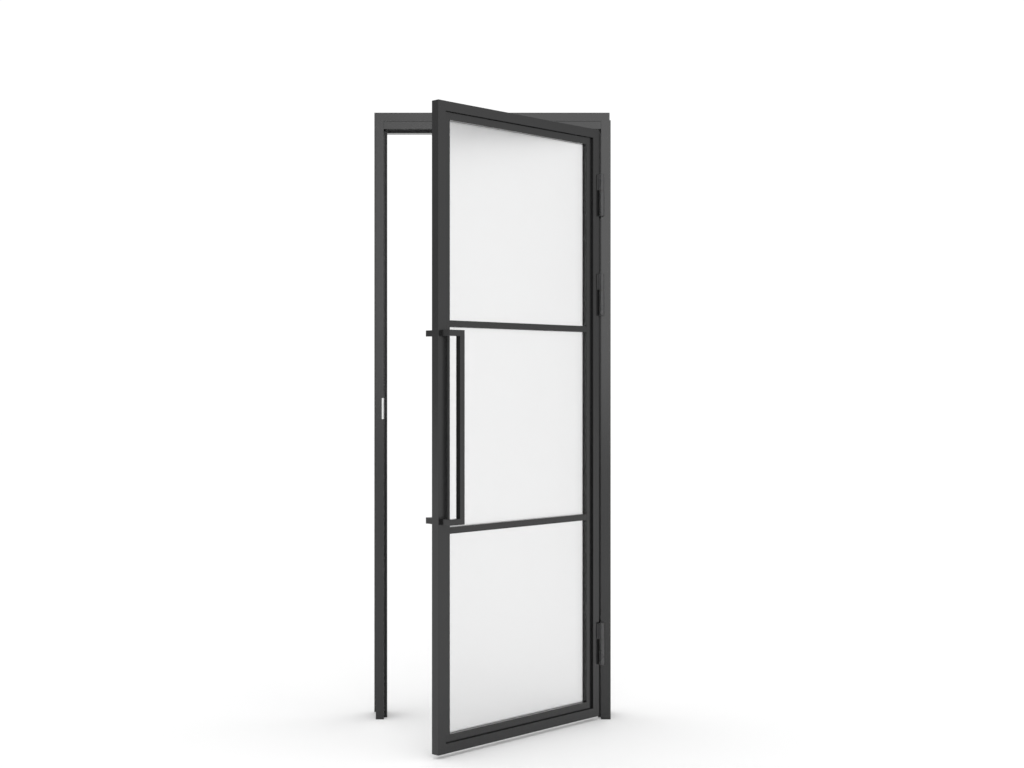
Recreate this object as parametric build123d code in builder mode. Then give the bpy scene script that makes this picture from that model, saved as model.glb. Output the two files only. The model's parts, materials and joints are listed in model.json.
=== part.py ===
"""A framed glass door: a slim steel leaf with one frosted pane, hung in its own three-sided frame.

Millimetres. X runs to the right, Y goes away from the viewer and Z is up. The origin is on the floor,
midway between the jambs' outer sides and level with the frame's front face. The leaf is modelled
standing open, turned about its hinge line.
"""

import os
from math import cos, radians, sin

from build123d import *

os.makedirs("parts", exist_ok=True)

# Frame
FRAME_WIDTH = 849.0
FRAME_HEIGHT = 2165.0
FRAME_DEPTH = 120.0
STRIKE_FACE = 29.0
HINGE_FACE = 35.0
HEAD_FACE = 32.0
FRAME_WALL = 2.0
FLANGE_THICKNESS = 6.0
FLANGE_STRIKE_OVERHANG = 16.0
FLANGE_HINGE_OVERHANG = 4.0
FLANGE_HEAD_OVERHANG = 49.0

# Stop and its seal
STOP_FRONT = 34.0
STOP_DEPTH = 12.0
STOP_PROUD = 9.0
SEAL_SLOT = 4.0
SEAL_SLOT_DEPTH = 4.0
SEAL_LIP = 6.0
SEAL_PROUD = 1.5
CUT_MARGIN = 1.0

# Leaf
LEAF_WIDTH = 780.0
LEAF_HEIGHT = 2115.0
LEAF_THICKNESS = 32.0
SIDE_GAP = 2.5
FLOOR_GAP = 14.0
OPEN_ANGLE = 45.0
PROFILE_FACE = 32.0
PROFILE_WALL = 2.0
REBATE_LIP = 26.0
LIP_THICKNESS = 3.5
EDGE_RADIUS = 0.8

# Glazing
GLASS_THICKNESS = 6.0
GLASS_EDGE_GAP = 4.0
GASKET_THICKNESS = 1.0
GASKET_WIDTH = 8.0
BEAD_STEP = 8.5
BEAD_WALL = 1.5
BEAD_SHADOW_GAP = 1.0
BAR_FACE = 22.0
TAPE_MARGIN = 3.0
BLOCK_LENGTH = 100.0
BLOCK_INSET = 120.0

# Pull handles
HANDLE_BAR = 20.0
HANDLE_LENGTH = 630.0
HANDLE_PROJECTION = 42.0
HANDLE_INSET = 11.0
HANDLE_REACH = 66.0
HANDLE_BOLT = 8.0
HANDLE_BOLT_GRIP = 15.0

# Hinges
HINGE_HEIGHTS = (275.0, 1534.0, 1893.0)
HINGE_AXIS_IN_JAMB = 2.5
HINGE_AXIS_PROUD = 8.5
KNUCKLE_RADIUS = 8.0
KNUCKLE_CHAMFER = 1.0
FRAME_KNUCKLE = 90.0
LEAF_KNUCKLE = 60.0
WASHER_THICKNESS = 1.0
RUNNING_GAP = 0.1
PIN_RADIUS = 4.0
PIN_CLEARANCE = 0.05
PIN_DEPTH = 70.0
PIN_RISE = 48.0
PIN_END_GAP = 1.0
WELD_LUG = 8.0
LUG_SETBACK = 2.0
LUG_STEP = 1.0

# Magnetic catch and its strike
CATCH_HEIGHT = 1123.0
FACEPLATE_HEIGHT = 76.0
FACEPLATE_WIDTH = 18.0
CATCH_CASE_HEIGHT = 46.0
CATCH_CASE_WIDTH = 16.0
CATCH_EAR_HEIGHT = 72.0
CATCH_EAR_DEPTH = 10.0
PLUNGER_RADIUS = 5.0
PLUNGER_CLEARANCE = 0.05
PLUNGER_LENGTH = 14.0
MAGNET_RADIUS = 3.5
MAGNET_LENGTH = 8.0
KEEPER_THICKNESS = 2.0
SCREW_SHANK_RADIUS = 1.75
SCREW_HEAD_RADIUS = 3.2
SCREW_HEAD_HEIGHT = 1.6
CATCH_SCREW_PITCH = 62.0
STRIKE_WIDTH = 26.0
STRIKE_LIP = 7.0
STRIKE_LIP_THICKNESS = 1.5
STRIKE_BOX_DEPTH = 14.0

# Fixings of the frame
FIXING_HOLE_RADIUS = 4.0
FIXING_DEPTH = 84.0
FIXING_HEIGHTS = (200.0, 1067.0, 1934.0)
CLEAT_LENGTH = 45.0
CLEAT_CLEARANCE = 0.1
CLEAT_BRIDGE = 8.0
CORNER_SCREW_RADIUS = 2.5
CORNER_SCREW_HEAD = 4.6
CORNER_SCREW_HEAD_HEIGHT = 4.0
CORNER_SCREW_LENGTH = 24.0
CORNER_SCREW_SETBACK = 26.0

# Places that follow from the sizes
LEFT = -FRAME_WIDTH / 2
RIGHT = FRAME_WIDTH / 2
STRIKE_INNER = LEFT + STRIKE_FACE
HINGE_INNER = RIGHT - HINGE_FACE
HEAD_UNDERSIDE = FRAME_HEIGHT - HEAD_FACE
FLANGE_FRONT = FRAME_DEPTH - FLANGE_THICKNESS
FLANGE_TOP = FRAME_HEIGHT + FLANGE_HEAD_OVERHANG
AXIS_X = HINGE_INNER + HINGE_AXIS_IN_JAMB
AXIS_Y = -HINGE_AXIS_PROUD

# The leaf's own axes: origin on the hinge line, x towards the hinge, y from front to back
OPEN_X = Vector(cos(radians(OPEN_ANGLE)), sin(radians(OPEN_ANGLE)), 0)
LEAF_PLANE = Plane(origin=(AXIS_X, AXIS_Y, 0), x_dir=OPEN_X, z_dir=(0, 0, 1))
LEAF_HINGE_X = -(HINGE_AXIS_IN_JAMB + SIDE_GAP)
LEAF_LOCK_X = LEAF_HINGE_X - LEAF_WIDTH
LEAF_FRONT = HINGE_AXIS_PROUD
LEAF_REAR = LEAF_FRONT + LEAF_THICKNESS
LEAF_TOP = FLOOR_GAP + LEAF_HEIGHT
SIGHT = PROFILE_FACE + REBATE_LIP
LIP_FRONT = LEAF_REAR - LIP_THICKNESS
GLASS_REAR = LIP_FRONT - GASKET_THICKNESS
GLASS_FRONT = GLASS_REAR - GLASS_THICKNESS
BEAD_REAR = GLASS_FRONT - GASKET_THICKNESS
BEAD_FRONT = LEAF_FRONT + BEAD_STEP
FIELD_HEIGHT = (LEAF_HEIGHT - 2 * SIGHT - 2 * BAR_FACE) / 3
BAR_BOTTOMS = {
    "lower": FLOOR_GAP + SIGHT + FIELD_HEIGHT,
    "upper": FLOOR_GAP + SIGHT + 2 * FIELD_HEIGHT + BAR_FACE,
}
HANDLE_BOTTOM = FLOOR_GAP + (LEAF_HEIGHT - HANDLE_LENGTH) / 2
HANDLE_TOP = HANDLE_BOTTOM + HANDLE_LENGTH
BOLT_X = LEAF_LOCK_X + HANDLE_INSET + HANDLE_BAR / 2
BOLT_HEIGHTS = (HANDLE_BOTTOM + HANDLE_BAR / 2, HANDLE_TOP - HANDLE_BAR / 2)
CATCH_Y = LEAF_FRONT + LEAF_THICKNESS / 2
STRIKE_Y = CATCH_Y + AXIS_Y
CATCH_SCREW_HEIGHTS = (CATCH_HEIGHT - CATCH_SCREW_PITCH / 2, CATCH_HEIGHT + CATCH_SCREW_PITCH / 2)
CORNER_SCREW_DEPTHS = (CORNER_SCREW_SETBACK, FLANGE_FRONT - CORNER_SCREW_SETBACK)
CORNER_SCREW_LEVEL = HEAD_UNDERSIDE + HEAD_FACE / 2
HINGE_HEIGHT = FRAME_KNUCKLE + LEAF_KNUCKLE + WASHER_THICKNESS + RUNNING_GAP


def save(part, name):
    """Label a finished piece and write its STEP file."""
    part.label = name
    export_step(part, f"parts/{name}.step")


def span(x0, y0, x1, y1, mode=Mode.ADD):
    """Draw a rectangle between two corners in the sketch's own plane."""
    with Locations(((x0 + x1) / 2, (y0 + y1) / 2)):
        Rectangle(abs(x1 - x0), abs(y1 - y0), mode=mode)


def leaf_level(height):
    """The leaf's own plan plane at a height above the floor."""
    return LEAF_PLANE.offset(height)


def leaf_side(x):
    """A plane across the leaf, facing the hinge, with its own x from front to back and y up."""
    origin = LEAF_PLANE.from_local_coords(Vector(x, 0, 0))
    return Plane(origin=origin, x_dir=LEAF_PLANE.y_dir, z_dir=LEAF_PLANE.x_dir)


def leaf_face(y):
    """A plane parallel to the leaf's face, facing the viewer, with its own x along the leaf and y up."""
    origin = LEAF_PLANE.from_local_coords(Vector(0, y, 0))
    return Plane(origin=origin, x_dir=LEAF_PLANE.x_dir, z_dir=-LEAF_PLANE.y_dir)


def jamb(inner, outward, face, overhang):
    """A jamb: a hollow box with its stop, and the rear flange, as one profile.

    Args:
        inner: the jamb's side towards the doorway.
        outward: -1 or 1, the way from there to the wall.
        face: the jamb's width seen from the front.
        overhang: how far the rear flange laps past the jamb.
    """
    outer = inner + outward * face
    stop = inner - outward * STOP_PROUD
    slot_middle = stop + outward * SEAL_LIP / 2
    with BuildPart() as made:
        with BuildSketch(Plane.XY):
            span(inner, 0, outer, FLANGE_FRONT)
            span(stop, STOP_FRONT, inner, STOP_FRONT + STOP_DEPTH)
        extrude(amount=FRAME_HEIGHT)
        fillet(made.edges().filter_by(Axis.Z).group_by(Axis.Y)[0], EDGE_RADIUS)
        with BuildSketch(Plane.XY):
            span(inner, FLANGE_FRONT, outer + outward * overhang, FRAME_DEPTH)
        extrude(amount=FLANGE_TOP)
        with BuildSketch(Plane.XY):
            span(
                inner + outward * FRAME_WALL,
                FRAME_WALL,
                outer - outward * FRAME_WALL,
                FLANGE_FRONT - FRAME_WALL,
            )
            span(
                slot_middle - SEAL_SLOT / 2,
                STOP_FRONT,
                slot_middle + SEAL_SLOT / 2,
                STOP_FRONT + SEAL_SLOT_DEPTH,
            )
        extrude(amount=FRAME_HEIGHT, mode=Mode.SUBTRACT)
        # The head's stop runs through between the jambs, so theirs ends below it
        with BuildSketch(Plane.XY.offset(HEAD_UNDERSIDE)):
            span(
                inner,
                STOP_FRONT - CUT_MARGIN,
                stop - outward * CUT_MARGIN,
                STOP_FRONT + STOP_DEPTH + CUT_MARGIN,
            )
        extrude(amount=HEAD_FACE, mode=Mode.SUBTRACT)
        with BuildSketch(Plane.YZ.offset(inner)):
            for height in FIXING_HEIGHTS:
                with Locations((FIXING_DEPTH, height)):
                    Circle(FIXING_HOLE_RADIUS)
        extrude(amount=outward * face, mode=Mode.SUBTRACT)
        with BuildSketch(Plane.YZ.offset(inner)):
            for depth in CORNER_SCREW_DEPTHS:
                with Locations((depth, CORNER_SCREW_LEVEL)):
                    Circle(CORNER_SCREW_RADIUS)
        extrude(amount=outward * FRAME_WALL, mode=Mode.SUBTRACT)
    return made.part


# Strike jamb, with its cut-out for the strike plate
with BuildPart() as strike_jamb:
    add(jamb(STRIKE_INNER, -1, STRIKE_FACE, FLANGE_STRIKE_OVERHANG))
    with BuildSketch(Plane.YZ.offset(STRIKE_INNER - FRAME_WALL)):
        with Locations((STRIKE_WIDTH / 2, CATCH_HEIGHT)):
            Rectangle(STRIKE_WIDTH, FACEPLATE_HEIGHT)
    extrude(amount=FRAME_WALL, mode=Mode.SUBTRACT)
save(strike_jamb.part, "strike_jamb")

# Hinge jamb
save(jamb(HINGE_INNER, 1, HINGE_FACE, FLANGE_HINGE_OVERHANG), "hinge_jamb")

# Head: the same profile lying between the jambs
with BuildPart() as head:
    with BuildSketch(Plane.YZ.offset(STRIKE_INNER)):
        span(0, HEAD_UNDERSIDE, FLANGE_FRONT, FRAME_HEIGHT)
    extrude(amount=HINGE_INNER - STRIKE_INNER)
    fillet(head.edges().filter_by(Axis.X).group_by(Axis.Y)[0], EDGE_RADIUS)
    with BuildSketch(Plane.YZ.offset(STRIKE_INNER)):
        span(FLANGE_FRONT, HEAD_UNDERSIDE, FRAME_DEPTH, FLANGE_TOP)
    extrude(amount=HINGE_INNER - STRIKE_INNER)
    with BuildSketch(Plane.YZ.offset(STRIKE_INNER)):
        span(
            FRAME_WALL,
            HEAD_UNDERSIDE + FRAME_WALL,
            FLANGE_FRONT - FRAME_WALL,
            FRAME_HEIGHT - FRAME_WALL,
        )
    extrude(amount=HINGE_INNER - STRIKE_INNER, mode=Mode.SUBTRACT)
    with BuildSketch(Plane.YZ.offset(STRIKE_INNER + STOP_PROUD)):
        span(STOP_FRONT, HEAD_UNDERSIDE - STOP_PROUD, STOP_FRONT + STOP_DEPTH, HEAD_UNDERSIDE)
        seal_z = HEAD_UNDERSIDE - STOP_PROUD + SEAL_LIP / 2
        span(
            STOP_FRONT,
            seal_z - SEAL_SLOT / 2,
            STOP_FRONT + SEAL_SLOT_DEPTH,
            seal_z + SEAL_SLOT / 2,
            mode=Mode.SUBTRACT,
        )
    extrude(amount=HINGE_INNER - STRIKE_INNER - 2 * STOP_PROUD)
save(head.part, "head")


def seal(plane, across, length):
    """Model a seal: a foot in the stop's slot and a domed lip in front of it.

    Args:
        plane: the seal's end, with its own x from front to back and its y across the stop.
        across: the slot's centre line on that plane.
        length: how far the seal runs.
    """
    with BuildPart() as made:
        with BuildSketch(plane):
            with BuildLine():
                Polyline(
                    (STOP_FRONT, across - SEAL_LIP / 2),
                    (STOP_FRONT, across - SEAL_SLOT / 2),
                    (STOP_FRONT + SEAL_SLOT_DEPTH, across - SEAL_SLOT / 2),
                    (STOP_FRONT + SEAL_SLOT_DEPTH, across + SEAL_SLOT / 2),
                    (STOP_FRONT, across + SEAL_SLOT / 2),
                    (STOP_FRONT, across + SEAL_LIP / 2),
                )
                ThreePointArc(
                    (STOP_FRONT, across + SEAL_LIP / 2),
                    (STOP_FRONT - SEAL_PROUD, across),
                    (STOP_FRONT, across - SEAL_LIP / 2),
                )
            make_face()
        extrude(amount=length)
    return made.part


# Seals along the stops
PLAN_TURNED = Plane(origin=(0, 0, 0), x_dir=(0, 1, 0), z_dir=(0, 0, 1))
SEAL_HEIGHT = HEAD_UNDERSIDE - STOP_PROUD
save(seal(PLAN_TURNED, -(STRIKE_INNER + STOP_PROUD - SEAL_LIP / 2), SEAL_HEIGHT), "strike_seal")
save(seal(PLAN_TURNED, -(HINGE_INNER - STOP_PROUD + SEAL_LIP / 2), SEAL_HEIGHT), "hinge_seal")
save(
    seal(
        Plane.YZ.offset(STRIKE_INNER + STOP_PROUD),
        HEAD_UNDERSIDE - STOP_PROUD + SEAL_LIP / 2,
        HINGE_INNER - STRIKE_INNER - 2 * STOP_PROUD,
    ),
    "head_seal",
)


def corner_cleat(start):
    """A cleat that fills the head's hollow end, with a leg in front and behind for the two screws."""
    low = HEAD_UNDERSIDE + FRAME_WALL + CLEAT_CLEARANCE
    high = FRAME_HEIGHT - FRAME_WALL - CLEAT_CLEARANCE
    near = FRAME_WALL + CLEAT_CLEARANCE
    far = FLANGE_FRONT - FRAME_WALL - CLEAT_CLEARANCE
    with BuildPart() as cleat:
        with BuildSketch(Plane.YZ.offset(start)):
            span(near, low, far, high)
            span(near + CLEAT_LENGTH, low, far - CLEAT_LENGTH, high - CLEAT_BRIDGE, Mode.SUBTRACT)
            for depth in CORNER_SCREW_DEPTHS:
                with Locations((depth, CORNER_SCREW_LEVEL)):
                    Circle(CORNER_SCREW_RADIUS, mode=Mode.SUBTRACT)
        extrude(amount=CLEAT_LENGTH)
    return cleat.part


# Corner cleats inside the head
save(corner_cleat(STRIKE_INNER), "strike_corner_cleat")
save(corner_cleat(HINGE_INNER - CLEAT_LENGTH), "hinge_corner_cleat")

# Hexagon-headed corner screws, from inside each jamb's hollow into the cleats
with BuildPart() as corner_screws:
    for inner, side in ((STRIKE_INNER, 1), (HINGE_INNER, -1)):
        for depth in CORNER_SCREW_DEPTHS:
            seat = Plane(
                origin=(inner - side * FRAME_WALL, depth, CORNER_SCREW_LEVEL),
                z_dir=(side, 0, 0),
            )
            with BuildSketch(seat):
                Circle(CORNER_SCREW_RADIUS)
            extrude(amount=CORNER_SCREW_LENGTH)
            with BuildSketch(seat):
                RegularPolygon(CORNER_SCREW_HEAD, 6)
            extrude(amount=-CORNER_SCREW_HEAD_HEIGHT)
save(corner_screws.part, "corner_screws")


def screw_mouths(side, across):
    """The two planes on a plate's face where its countersunk screws go in, facing into the plate."""
    return [
        Plane(
            origin=side.from_local_coords(Vector(across, height, 0)),
            x_dir=side.x_dir,
            z_dir=side.z_dir,
        )
        for height in CATCH_SCREW_HEIGHTS
    ]


STRIKE_SIDE = Plane(origin=(STRIKE_INNER, 0, 0), x_dir=(0, 1, 0), z_dir=(-1, 0, 0))

# Strike plate: flush in the jamb's rebate, with a lip folded over the jamb's face
with BuildPart() as strike_plate:
    with BuildSketch(Plane.XY.offset(CATCH_HEIGHT - FACEPLATE_HEIGHT / 2)):
        with BuildLine():
            Polyline(
                (STRIKE_INNER - FRAME_WALL, EDGE_RADIUS),
                (STRIKE_INNER - FRAME_WALL, STRIKE_WIDTH),
                (STRIKE_INNER, STRIKE_WIDTH),
                (STRIKE_INNER, 0),
            )
            RadiusArc(
                (STRIKE_INNER, 0),
                (STRIKE_INNER - STRIKE_LIP_THICKNESS, -STRIKE_LIP_THICKNESS),
                STRIKE_LIP_THICKNESS,
            )
            Polyline(
                (STRIKE_INNER - STRIKE_LIP_THICKNESS, -STRIKE_LIP_THICKNESS),
                (STRIKE_INNER - STRIKE_LIP, -STRIKE_LIP_THICKNESS),
                (STRIKE_INNER - STRIKE_LIP, 0),
                (STRIKE_INNER - FRAME_WALL, 0),
                (STRIKE_INNER - FRAME_WALL, EDGE_RADIUS),
            )
        make_face()
    extrude(amount=FACEPLATE_HEIGHT)
    for mouth in screw_mouths(STRIKE_SIDE, STRIKE_Y):
        with BuildSketch(mouth):
            Circle(SCREW_HEAD_RADIUS)
        with BuildSketch(mouth.offset(SCREW_HEAD_HEIGHT)):
            Circle(SCREW_SHANK_RADIUS)
        loft(mode=Mode.SUBTRACT)
        with BuildSketch(mouth):
            Circle(SCREW_SHANK_RADIUS)
        extrude(amount=FRAME_WALL, mode=Mode.SUBTRACT)
save(strike_plate.part, "strike_plate")

# Strike box: the moulded back box that the strike plate's screws bite into
with BuildPart() as strike_box:
    with BuildSketch(Plane.YZ.offset(STRIKE_INNER - FRAME_WALL)):
        with Locations((STRIKE_Y, CATCH_HEIGHT)):
            Rectangle(FACEPLATE_WIDTH, FACEPLATE_HEIGHT)
    extrude(amount=-STRIKE_BOX_DEPTH)
    with BuildSketch(Plane.YZ.offset(STRIKE_INNER - FRAME_WALL)):
        with Locations((STRIKE_Y, CATCH_HEIGHT)):
            Rectangle(FACEPLATE_WIDTH - 2 * FRAME_WALL, CATCH_CASE_HEIGHT)
    extrude(amount=-(STRIKE_BOX_DEPTH - FRAME_WALL), mode=Mode.SUBTRACT)
save(strike_box.part, "strike_box")


def stile(edge_x, inward):
    """A leaf stile: a square tube with the rebate lip that the pane closes against.

    Args:
        edge_x: the leaf's edge in its own plan.
        inward: 1 or -1, the way from that edge to the pane.
    """
    tube = edge_x + inward * PROFILE_FACE
    with BuildPart() as made:
        with BuildSketch(leaf_level(FLOOR_GAP)):
            span(edge_x, LEAF_FRONT, tube, LEAF_REAR)
        extrude(amount=LEAF_HEIGHT)
        inwards = Axis(LEAF_PLANE.origin, LEAF_PLANE.x_dir * inward)
        fillet(made.edges().filter_by(Axis.Z).group_by(inwards)[0], EDGE_RADIUS)
        with BuildSketch(leaf_level(FLOOR_GAP + PROFILE_FACE)):
            span(tube - inward * PROFILE_WALL, LIP_FRONT, edge_x + inward * SIGHT, LEAF_REAR)
        extrude(amount=LEAF_HEIGHT - 2 * PROFILE_FACE)
        with BuildSketch(leaf_level(FLOOR_GAP)):
            span(
                edge_x + inward * PROFILE_WALL,
                LEAF_FRONT + PROFILE_WALL,
                tube - inward * PROFILE_WALL,
                LEAF_REAR - PROFILE_WALL,
            )
        extrude(amount=LEAF_HEIGHT, mode=Mode.SUBTRACT)
    return made


# Closing stile, with its cut-out for the catch and the handles' bolt holes
closing = stile(LEAF_LOCK_X, 1)
with BuildPart() as closing_stile:
    add(closing.part)
    with BuildSketch(leaf_side(LEAF_LOCK_X)):
        with Locations((CATCH_Y, CATCH_HEIGHT)):
            Rectangle(FACEPLATE_WIDTH, FACEPLATE_HEIGHT)
    extrude(amount=PROFILE_WALL, mode=Mode.SUBTRACT)
    with BuildSketch(leaf_face(LEAF_FRONT)):
        for height in BOLT_HEIGHTS:
            with Locations((BOLT_X, height)):
                Circle(HANDLE_BOLT / 2)
    extrude(amount=-LEAF_THICKNESS, mode=Mode.SUBTRACT)
save(closing_stile.part, "closing_stile")

# Hinge stile
save(stile(LEAF_HINGE_X, -1).part, "hinge_stile")


def rail(edge_z, inward):
    """A leaf rail between the stiles, with the same section as theirs."""
    tube = edge_z + inward * PROFILE_FACE
    start = LEAF_LOCK_X + PROFILE_FACE
    length = LEAF_WIDTH - 2 * PROFILE_FACE
    with BuildPart() as made:
        with BuildSketch(leaf_side(start)):
            span(LEAF_FRONT, edge_z, LEAF_REAR, tube)
        extrude(amount=length)
        lengthways = made.edges().filter_by(Axis(LEAF_PLANE.origin, LEAF_PLANE.x_dir))
        fillet(lengthways.group_by(Axis.Z)[0 if inward > 0 else -1], EDGE_RADIUS)
        with BuildSketch(leaf_side(start)):
            span(
                LEAF_FRONT + PROFILE_WALL,
                edge_z + inward * PROFILE_WALL,
                LEAF_REAR - PROFILE_WALL,
                tube - inward * PROFILE_WALL,
            )
        extrude(amount=length, mode=Mode.SUBTRACT)
        with BuildSketch(leaf_side(LEAF_LOCK_X + SIGHT)):
            span(LIP_FRONT, tube, LEAF_REAR, edge_z + inward * SIGHT)
        extrude(amount=LEAF_WIDTH - 2 * SIGHT)
    return made.part


# Top and bottom rails
save(rail(LEAF_TOP, -1), "top_rail")
save(rail(FLOOR_GAP, 1), "bottom_rail")


def leaf_ring(front, depth, outer_inset, inner_inset):
    """A flat ring that follows the leaf's outline, between two insets from its edges."""
    middle_x = (LEAF_LOCK_X + LEAF_HINGE_X) / 2
    middle_z = FLOOR_GAP + LEAF_HEIGHT / 2
    with BuildPart() as ring:
        with BuildSketch(leaf_face(front)):
            with Locations((middle_x, middle_z)):
                Rectangle(LEAF_WIDTH - 2 * outer_inset, LEAF_HEIGHT - 2 * outer_inset)
                Rectangle(
                    LEAF_WIDTH - 2 * inner_inset, LEAF_HEIGHT - 2 * inner_inset, mode=Mode.SUBTRACT
                )
        extrude(amount=-depth)
    return ring.part


# Pane of frosted glass
with BuildPart() as glass_pane:
    with BuildSketch(leaf_face(GLASS_FRONT)):
        with Locations(((LEAF_LOCK_X + LEAF_HINGE_X) / 2, FLOOR_GAP + LEAF_HEIGHT / 2)):
            Rectangle(
                LEAF_WIDTH - 2 * (PROFILE_FACE + GLASS_EDGE_GAP),
                LEAF_HEIGHT - 2 * (PROFILE_FACE + GLASS_EDGE_GAP),
            )
    extrude(amount=-GLASS_THICKNESS)
save(glass_pane.part, "glass_pane")

# Gaskets in front of the pane and behind it
save(leaf_ring(BEAD_REAR, GASKET_THICKNESS, SIGHT - GASKET_WIDTH, SIGHT), "front_gasket")
save(leaf_ring(GLASS_REAR, GASKET_THICKNESS, SIGHT - GASKET_WIDTH, SIGHT), "rear_gasket")

# Setting blocks that the pane stands on
with BuildPart() as setting_blocks:
    block_level = leaf_level(FLOOR_GAP + PROFILE_FACE)
    with BuildSketch(block_level):
        for end, inward in ((LEAF_LOCK_X, 1), (LEAF_HINGE_X, -1)):
            near = end + inward * BLOCK_INSET
            span(near, GLASS_FRONT, near + inward * BLOCK_LENGTH, GLASS_REAR)
    extrude(amount=GLASS_EDGE_GAP)
save(setting_blocks.part, "setting_blocks")


def bead_section(near, far):
    """Draw a hollow glazing bead's section, in front-to-back and across axes."""
    span(BEAD_FRONT, near, BEAD_REAR, far)
    inset = BEAD_WALL if far > near else -BEAD_WALL
    span(BEAD_FRONT + BEAD_WALL, near + inset, BEAD_REAR - BEAD_WALL, far - inset, mode=Mode.SUBTRACT)


def upright_bead(edge_x, inward):
    """A glazing bead beside a stile, between the rails."""
    near = edge_x + inward * (PROFILE_FACE + BEAD_SHADOW_GAP)
    far = edge_x + inward * SIGHT
    turned = Plane(
        origin=LEAF_PLANE.origin + Vector(0, 0, FLOOR_GAP + PROFILE_FACE),
        x_dir=LEAF_PLANE.y_dir,
        z_dir=(0, 0, 1),
    )
    with BuildPart() as bead:
        with BuildSketch(turned):
            bead_section(-near, -far)
        extrude(amount=LEAF_HEIGHT - 2 * PROFILE_FACE)
    return bead.part


def level_bead(edge_z, inward):
    """A glazing bead along a rail, between the upright beads."""
    near = edge_z + inward * (PROFILE_FACE + BEAD_SHADOW_GAP)
    far = edge_z + inward * SIGHT
    with BuildPart() as bead:
        with BuildSketch(leaf_side(LEAF_LOCK_X + SIGHT)):
            bead_section(near, far)
        extrude(amount=LEAF_WIDTH - 2 * SIGHT)
    return bead.part


# Glazing beads
save(upright_bead(LEAF_LOCK_X, 1), "closing_side_bead")
save(upright_bead(LEAF_HINGE_X, -1), "hinge_side_bead")
save(level_bead(LEAF_TOP, -1), "top_bead")
save(level_bead(FLOOR_GAP, 1), "bottom_bead")


def glazing_bar(bottom, front, rear):
    """A flat bar across the pane's face, from bead to bead."""
    with BuildPart() as bar:
        with BuildSketch(leaf_side(LEAF_LOCK_X + SIGHT)):
            span(front, bottom, rear, bottom + BAR_FACE)
        extrude(amount=LEAF_WIDTH - 2 * SIGHT)
    return bar.part


def bar_tapes(front):
    """The two strips of bonding tape under the bars of one face."""
    with BuildPart() as tapes:
        with BuildSketch(leaf_side(LEAF_LOCK_X + SIGHT)):
            for bottom in BAR_BOTTOMS.values():
                span(
                    front,
                    bottom + TAPE_MARGIN,
                    front + GASKET_THICKNESS,
                    bottom + BAR_FACE - TAPE_MARGIN,
                )
        extrude(amount=LEAF_WIDTH - 2 * SIGHT)
    return tapes.part


# Glazing bars on both faces of the pane, and their tape
for level, bar_bottom in BAR_BOTTOMS.items():
    save(glazing_bar(bar_bottom, BEAD_FRONT, BEAD_REAR), f"front_{level}_bar")
    save(glazing_bar(bar_bottom, LIP_FRONT, LEAF_REAR), f"rear_{level}_bar")
save(bar_tapes(BEAD_REAR), "front_bar_tapes")
save(bar_tapes(GLASS_REAR), "rear_bar_tapes")


def pull_handle(face, outward):
    """An offset pull: two cranked arms and an upright grip, all of one square bar.

    Args:
        face: the leaf's face in its own plan, where the arms stand.
        outward: -1 in front of the leaf and 1 behind it.
    """
    near = LEAF_LOCK_X + HANDLE_INSET
    far = near + HANDLE_REACH
    tip = face + outward * HANDLE_PROJECTION
    back = tip - outward * HANDLE_BAR
    with BuildPart() as handle:
        for bottom in (HANDLE_BOTTOM, HANDLE_TOP - HANDLE_BAR):
            with BuildSketch(leaf_level(bottom)):
                span(near, face, near + HANDLE_BAR, tip)
                span(near, back, far, tip)
            extrude(amount=HANDLE_BAR)
        with BuildSketch(leaf_level(HANDLE_BOTTOM)):
            span(far - HANDLE_BAR, back, far, tip)
        extrude(amount=HANDLE_LENGTH)
        outside = leaf_face(tip)
        rim = handle.faces().sort_by(Axis(outside.origin, outside.z_dir * -outward))[-1]
        fillet(rim.edges(), EDGE_RADIUS)
        with BuildSketch(leaf_face(face)):
            for height in BOLT_HEIGHTS:
                with Locations((BOLT_X, height)):
                    Circle(HANDLE_BOLT / 2)
        extrude(amount=-outward * HANDLE_BOLT_GRIP, mode=Mode.SUBTRACT)
    return handle.part


# Pull handles, back to back
save(pull_handle(LEAF_FRONT, -1), "front_handle")
save(pull_handle(LEAF_REAR, 1), "rear_handle")

# Bolts that run through the stile and draw the two handles together
with BuildPart() as handle_bolts:
    with BuildSketch(leaf_face(LEAF_FRONT - HANDLE_BOLT_GRIP)):
        for height in BOLT_HEIGHTS:
            with Locations((BOLT_X, height)):
                Circle(HANDLE_BOLT / 2)
    extrude(amount=-(LEAF_THICKNESS + 2 * HANDLE_BOLT_GRIP))
save(handle_bolts.part, "handle_bolts")

# Catch faceplate, flush in the closing edge
with BuildPart() as catch_faceplate:
    with BuildSketch(leaf_side(LEAF_LOCK_X)):
        with Locations((CATCH_Y, CATCH_HEIGHT)):
            Rectangle(FACEPLATE_WIDTH, FACEPLATE_HEIGHT)
            Circle(PLUNGER_RADIUS + PLUNGER_CLEARANCE, mode=Mode.SUBTRACT)
    extrude(amount=PROFILE_WALL)
    for mouth in screw_mouths(leaf_side(LEAF_LOCK_X), CATCH_Y):
        with BuildSketch(mouth):
            Circle(SCREW_HEAD_RADIUS)
        with BuildSketch(mouth.offset(SCREW_HEAD_HEIGHT)):
            Circle(SCREW_SHANK_RADIUS)
        loft(mode=Mode.SUBTRACT)
        with BuildSketch(mouth):
            Circle(SCREW_SHANK_RADIUS)
        extrude(amount=PROFILE_WALL, mode=Mode.SUBTRACT)
save(catch_faceplate.part, "catch_faceplate")

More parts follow.
